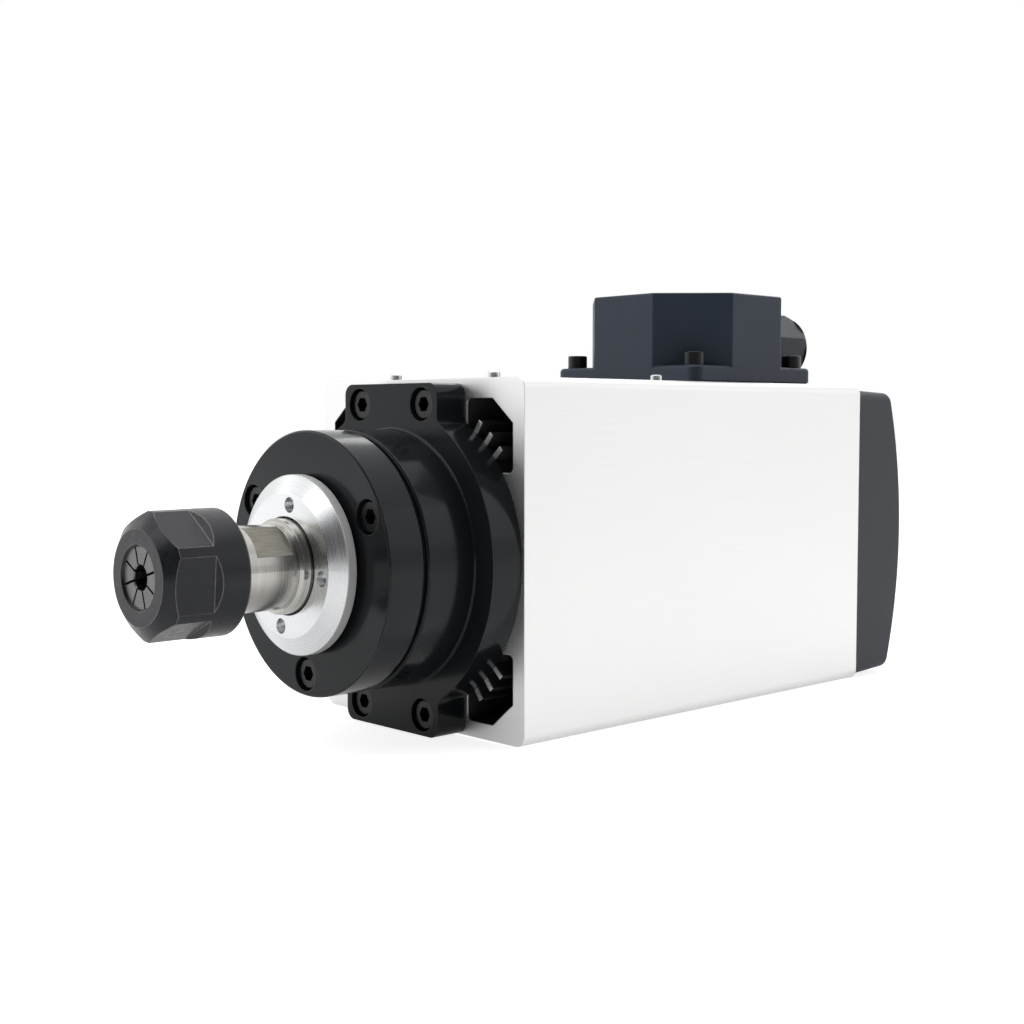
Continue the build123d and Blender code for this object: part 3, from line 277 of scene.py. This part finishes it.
def machined_aluminium():
    """Bright extruded and brushed aluminium, its ducts painted dark as shade, its edges paler: partly wear,
    partly a painted highlight.
    """
    made, tree, into = finish_named("machined_aluminium", 0.34, 1.0)
    lines = effect(tree, brushed, Stretch=(900, 22, 900))["Value"]
    patches = effect(tree, cloudy, Size=50 * MM)["Value"]
    rim = effect(tree, edges, Width=0.5 * MM)

    # In the ducts no brush reaches: the walls there are rougher, and painted dark as shade
    axes = part_axes(tree)
    middle_z = (housing_low.z + housing_high.z) / 2
    half_height = (housing_high.z - housing_low.z) / 2
    level = maths(tree, "ABSOLUTE", maths(tree, "SUBTRACT", axes["Z"], middle_z))
    duct_shade = product(
        tree,
        maths(tree, "LESS_THAN", maths(tree, "ABSOLUTE", axes["X"]), housing_high.x - skin_thickness),
        maths(tree, "LESS_THAN", level, half_height - skin_thickness),
        remap(tree, axes["Y"], housing_front + front_brushed, housing_front + front_duct_shade),
        maths(tree, "LESS_THAN", axes["Y"], housing_rear - rear_brushed),
    )

    bright = mixed(tree, remap(tree, lines, 0.3, 0.7), (0.885, 0.89, 0.88), (0.915, 0.92, 0.91))
    tinted = mixed(tree, remap(tree, patches, 0.35, 0.7, 0, 0.5), bright, (0.885, 0.89, 0.88))
    # Paler edges: partly wear, partly a painted highlight
    worn_and_lit_edge = mixed(tree, product(tree, rim["Mask"], 0.6), tinted, (0.96, 0.96, 0.96))
    # Painted shade: the ducts' walls are painted near black
    tree.links.new(mixed(tree, duct_shade, worn_and_lit_edge, (0.10, 0.102, 0.105)), into["Base Color"])
    rough = remap(tree, lines, 0.3, 0.7, 0.36, 0.46)
    tree.links.new(maths(tree, "ADD", rough, product(tree, duct_shade, 0.3)), into["Roughness"])
    tree.links.new(bumped(tree, lines, 0.006 * MM, rim["Rounded"]), into["Normal"])
    return made


def black_paint():
    """Glossy black enamel over machined metal, paler at the corners: partly thin paint, partly a painted
    highlight.
    """
    made, tree, into = finish_named("black_paint", 0.2, Specular_IOR_Level=0.18, Coat_Roughness=0.06)
    rings = effect(tree, turned, Pitch=0.5 * MM)["Value"]
    patches = effect(tree, cloudy, Size=30 * MM)["Value"]
    specks = effect(tree, cloudy, Size=1.1 * MM, Detail=2.0)["Value"]
    rim = effect(tree, edges, Width=0.5 * MM)
    ground = mixed(tree, patches, (0.0160, 0.0190, 0.0220), (0.0190, 0.0220, 0.0255))
    # Paler corners: partly paint rubbed thin, partly a painted highlight
    worn_and_lit_edge = remap(tree, product(tree, rim["Mask"], remap(tree, patches, 0.35, 0.65)), 0.1, 0.9)
    tree.links.new(mixed(tree, worn_and_lit_edge, ground, (0.16, 0.16, 0.165)), into["Base Color"])
    tree.links.new(remap(tree, patches, 0.3, 0.7, 0.13, 0.21), into["Roughness"])
    tree.links.new(remap(tree, patches, 0.3, 0.7, 0.10, 0.03), into["Coat Weight"])
    tree.links.new(bumped(tree, blend(tree, 0.5, rings, specks), 0.006 * MM, rim["Rounded"]), into["Normal"])
    return made


def metal(name, dark, light, rough_low, rough_high, pitch=0.4 * MM, depth=0.015 * MM):
    """A turned or ground metal with rings round the spindle's axis."""
    made, tree, into = finish_named(name, rough_low, 1.0)
    rings = effect(tree, turned, Pitch=pitch)["Value"]
    patches = effect(tree, cloudy, Size=12 * MM)["Value"]
    rim = effect(tree, edges, Width=0.3 * MM)
    amount = blend(tree, 0.7, rings, patches)
    ground = mixed(tree, remap(tree, amount, 0.3, 0.7), dark, light)
    # Paler edges: partly wear, partly a painted highlight
    tree.links.new(mixed(tree, product(tree, rim["Mask"], 0.7), ground, light), into["Base Color"])
    tree.links.new(remap(tree, amount, 0.3, 0.7, rough_low, rough_high), into["Roughness"])
    tree.links.new(bumped(tree, rings, depth, rim["Rounded"]), into["Normal"])
    return made


def disc_steel():
    """Fine turned steel whose rim is left duller, with a ring of painted shade at its bore's edge beside the
    shaft.
    """
    made = metal(
        "disc_steel", (0.74, 0.755, 0.77), (0.80, 0.81, 0.82), 0.24, 0.31, pitch=0.6 * MM, depth=0.005 * MM
    )
    tree = made.node_tree
    into = tree.nodes["Principled BSDF"].inputs
    radius = effect(tree, turned)["Radius"]
    rim = remap(tree, radius, rim_start, rim_end)
    value_over(tree, into["Roughness"], rim, 0.55)
    value_over(tree, into["Metallic"], rim, 0.0)
    tint_over(tree, into["Base Color"], rim, (0.88, 0.88, 0.87))
    # Painted shade: a dark ring at the bore's edge, in the gap beside the shaft's collar
    bore_shade = remap(tree, radius, collar_radius + bore_bright, collar_radius + bore_dark)
    tint_over(tree, into["Base Color"], bore_shade, (0.03, 0.03, 0.03))
    return made


def shaft_steel():
    """Ground steel with two coarsely milled flats for a spanner, with painted shade where it enters the
    nut's bore.
    """
    made = metal("shaft_steel", (0.43, 0.42, 0.39), (0.60, 0.59, 0.56), 0.17, 0.25, depth=0.008 * MM)
    tree = made.node_tree
    into = tree.nodes["Principled BSDF"].inputs
    axes = part_axes(tree)
    up = maths(tree, "SUBTRACT", axes["Z"], axis_z)
    across = maths(
        tree, "ADD", product(tree, axes["X"], cos(flat_angle)), product(tree, up, sin(flat_angle))
    )
    off = maths(tree, "ABSOLUTE", maths(tree, "SUBTRACT", maths(tree, "ABSOLUTE", across), flat_distance))
    flat = product(
        tree,
        remap(tree, off, flat_far, flat_near),
        maths(tree, "GREATER_THAN", axes["Y"], flat_rear - flat_width - flat_edge),
        maths(tree, "LESS_THAN", axes["Y"], flat_rear + flat_edge),
    )
    marks = effect(tree, brushed, Stretch=(1500, 160, 1500))["Value"]
    milled = mixed(tree, remap(tree, marks, 0.3, 0.7), (0.25, 0.235, 0.20), (0.35, 0.335, 0.295))
    tint_over(tree, into["Base Color"], flat, milled)
    # Painted shade: a dark ring round the shaft where it enters the nut's bore
    entry_shade = product(
        tree,
        maths(tree, "GREATER_THAN", axes["Y"], band_front),
        maths(tree, "LESS_THAN", axes["Y"], band_rear),
    )
    tint_over(tree, into["Base Color"], entry_shade, (0.22, 0.215, 0.20))
    value_over(tree, into["Roughness"], flat, 0.5)
    return made


def moulded(
    name, darker, lighter, roughness, shine=0.5, grain=0.6 * MM, depth=0.02 * MM, worn_and_lit_edge=None, edge_lightening=0.5
):
    """A moulded or blackened surface with a fine grain, faint cloudy patches and paler corners: partly wear,
    partly a painted highlight.
    """
    made, tree, into = finish_named(name, roughness, Specular_IOR_Level=shine)
    patches = effect(tree, cloudy, Size=30 * MM)["Value"]
    specks = effect(tree, cloudy, Size=grain, Detail=2.0)["Value"]
    rim = effect(tree, edges, Width=0.5 * MM)
    ground = mixed(tree, remap(tree, blend(tree, 0.6, patches, specks), 0.35, 0.65), darker, lighter)
    # Paler corners: partly wear, partly a painted highlight
    corner = worn_and_lit_edge or tuple(min(1.0, 1.7 * value) for value in lighter)
    rubbed_and_lit = product(tree, rim["Mask"], remap(tree, patches, 0.42, 0.6, 0.25 * edge_lightening, edge_lightening))
    tree.links.new(mixed(tree, rubbed_and_lit, ground, corner), into["Base Color"])
    tree.links.new(remap(tree, specks, 0.3, 0.7, roughness - 0.06, roughness + 0.08), into["Roughness"])
    tree.links.new(bumped(tree, specks, depth, rim["Rounded"]), into["Normal"])
    return made


# The finish of each material slot
finishes = {
    "machined_aluminium": machined_aluminium(),
    "black_paint": black_paint(),
    "black_oxide_steel": moulded(
        "black_oxide_steel", (0.006, 0.0065, 0.0075), (0.010, 0.0105, 0.012), 0.30, shine=0.4
    ),
    "turned_steel": metal("turned_steel", (0.62, 0.63, 0.64), (0.84, 0.84, 0.85), 0.20, 0.30),
    "ground_steel": metal(
        "ground_steel", (0.42, 0.41, 0.40), (0.66, 0.655, 0.64), 0.26, 0.38, pitch=0.3 * MM
    ),
    "dark_hardened_steel": moulded(
        "dark_hardened_steel", (0.013, 0.015, 0.020), (0.017, 0.019, 0.025), 0.27,
        shine=0.34, grain=3 * MM, depth=0.002 * MM, worn_and_lit_edge=(0.52, 0.51, 0.52), edge_lightening=0.9,
    ),
    "bearing_steel": metal("bearing_steel", (0.60, 0.60, 0.61), (0.72, 0.72, 0.73), 0.10, 0.16),
    "cage_resin": moulded("cage_resin", (0.36, 0.22, 0.09), (0.46, 0.30, 0.13), 0.5),
    "laminated_steel": metal(
        "laminated_steel", (0.18, 0.18, 0.19), (0.34, 0.34, 0.35), 0.40, 0.50, pitch=0.5 * MM
    ),
    "enamelled_copper": metal(
        "enamelled_copper", (0.36, 0.14, 0.05), (0.60, 0.27, 0.10), 0.30, 0.40, pitch=0.9 * MM
    ),
    "cast_aluminium": metal(
        "cast_aluminium", (0.48, 0.49, 0.50), (0.62, 0.63, 0.64), 0.42, 0.55, pitch=1.2 * MM
    ),
    "spring_steel": metal("spring_steel", (0.40, 0.40, 0.42), (0.56, 0.56, 0.58), 0.28, 0.36),
    "fan_plastic": moulded("fan_plastic", (0.03, 0.03, 0.033), (0.045, 0.045, 0.05), 0.5),
    "slate_plastic": moulded(
        "slate_plastic", (0.015, 0.021, 0.034), (0.022, 0.028, 0.042), 0.46, shine=0.4
    ),
    "black_rubber": moulded("black_rubber", (0.012, 0.012, 0.012), (0.02, 0.02, 0.02), 0.7),
    "terminal_resin": moulded("terminal_resin", (0.07, 0.05, 0.035), (0.10, 0.075, 0.05), 0.45),
    "terminal_brass": metal("terminal_brass", (0.60, 0.44, 0.17), (0.80, 0.62, 0.28), 0.22, 0.32),
}

# Four pieces differ a little from others of their slot
own_finishes = {
    "terminal_box": moulded(
        "slate_lid", (0.029, 0.042, 0.066), (0.037, 0.051, 0.078), 0.46, shine=0.33, worn_and_lit_edge=(0.12, 0.14, 0.17)
    ),
    "labyrinth_nut": disc_steel(),
    "spindle_shaft": shaft_steel(),
    "collet": metal("collet_steel", (0.11, 0.11, 0.11), (0.24, 0.24, 0.235), 0.34, 0.46, pitch=0.6 * MM),
}

for part in frame["record"]["subparts"]:
    node = nodes[part["node"]]
    node.data.materials.clear()
    node.data.materials.append(own_finishes.get(part["node"], finishes[part["material_slot"]]))

# ---------------------------------------------------------------- floor and backdrop

scene.view_settings.view_transform = "Standard"

floor_radius = 6.0
floor_gap = 0.5 * MM  # below the housing's base
floor_glow = 0.84  # with the lamps' light on it, this makes the floor white

floor_mesh = bpy.data.meshes.new("floor")
shape = bmesh.new()
bmesh.ops.create_circle(shape, cap_ends=True, segments=96, radius=floor_radius)
shape.to_mesh(floor_mesh)
shape.free()
floor = bpy.data.objects.new("floor", floor_mesh)
floor.location.z = -floor_gap
scene.collection.objects.link(floor)

# In the metal's reflections the floor is pale too: white far off, a little greyer beside the housing,
# and half as bright near the nose
floor_finish, tree, into = finish_named("floor_white", 0.9)
into["Base Color"].default_value = (0.6, 0.6, 0.6, 1)
into["Specular IOR Level"].default_value = 0.0
near_glow = 0.5
beside_glow = 0.73
beside_front = -160 * MM
beside_fade = 10 * MM
near_floor = 400 * MM
far_floor = 1200 * MM
side_fade = 100 * MM
axes = part_axes(tree)
distance = put(tree, "VectorMath", {0: part_place(tree)}, operation="LENGTH").outputs["Value"]
beside = product(
    tree,
    remap(tree, axes["X"], housing_high.x, housing_high.x + beside_fade),
    remap(tree, axes["Y"], beside_front, housing_front),
)
ahead = product(
    tree,
    remap(tree, distance, near_floor, far_floor, near_glow, 1.0),
    remap(tree, axes["X"], side_fade, -side_fade),
)
mirrored = maths(tree, "MAXIMUM", remap(tree, beside, 0, 1, near_glow, beside_glow), ahead)
light_path = put(tree, "LightPath").outputs
seen = maths(
    tree, "MAXIMUM", light_path["Is Camera Ray"], product(tree, light_path["Is Glossy Ray"], mirrored)
)
into["Emission Color"].default_value = (1, 1, 1, 1)
tree.links.new(product(tree, seen, floor_glow), into["Emission Strength"])
floor_mesh.materials.append(floor_finish)

# The backdrop is white to the camera. The part sees it white on its other sides, and dark towards the camera
toward_camera = Vector((sin(camera_yaw), -cos(camera_yaw), 0.15)).normalized()
world = bpy.data.worlds.new("studio")
scene.world = world
world.use_nodes = True
tree = world.node_tree
backdrop = tree.nodes["Background"].inputs
direction = put(tree, "TexCoord").outputs["Generated"]
facing = put(tree, "VectorMath", {0: direction, 1: toward_camera}, operation="DOT_PRODUCT").outputs["Value"]
studio = remap(tree, facing, -0.05, 0.7, 0.98, 0.07, smooth=True)
strength = maths(tree, "MAXIMUM", studio, put(tree, "LightPath").outputs["Is Camera Ray"])
tree.links.new(strength, backdrop["Strength"])
backdrop["Color"].default_value = (1, 1, 1, 1)

# ---------------------------------------------------------------- lamps

lamp_target = Vector((0, 0, axis_z))
softboxes = (
    # name, place, width, height, radiance
    ("softbox_left", (-1.2, -1.0, 0.65), 1.0, 0.5, 0.9),
    ("softbox_right", (1.4, 1.2, 0.9), 1.6, 1.0, 0.3),
    ("softbox_top", (0.0, 0.0, 1.8), 1.6, 1.6, 0.9),
    ("softbox_high_front", (-0.35, -1.25, 1.1), 0.7, 0.6, 1.8),
    ("strip_behind", (-0.5, 1.1, 1.1), 1.2, 0.25, 2.6),
)

for name, place, width, height, radiance in softboxes:
    light = bpy.data.lights.new(name, "AREA")
    light.shape = "RECTANGLE"
    light.size = width
    light.size_y = height
    light.energy = radiance * pi * width * height
    lamp = bpy.data.objects.new(name, light)
    lamp.location = place
    lamp.rotation_euler = (lamp_target - Vector(place)).to_track_quat("-Z", "Y").to_euler()
    lamp.visible_camera = False
    scene.collection.objects.link(lamp)
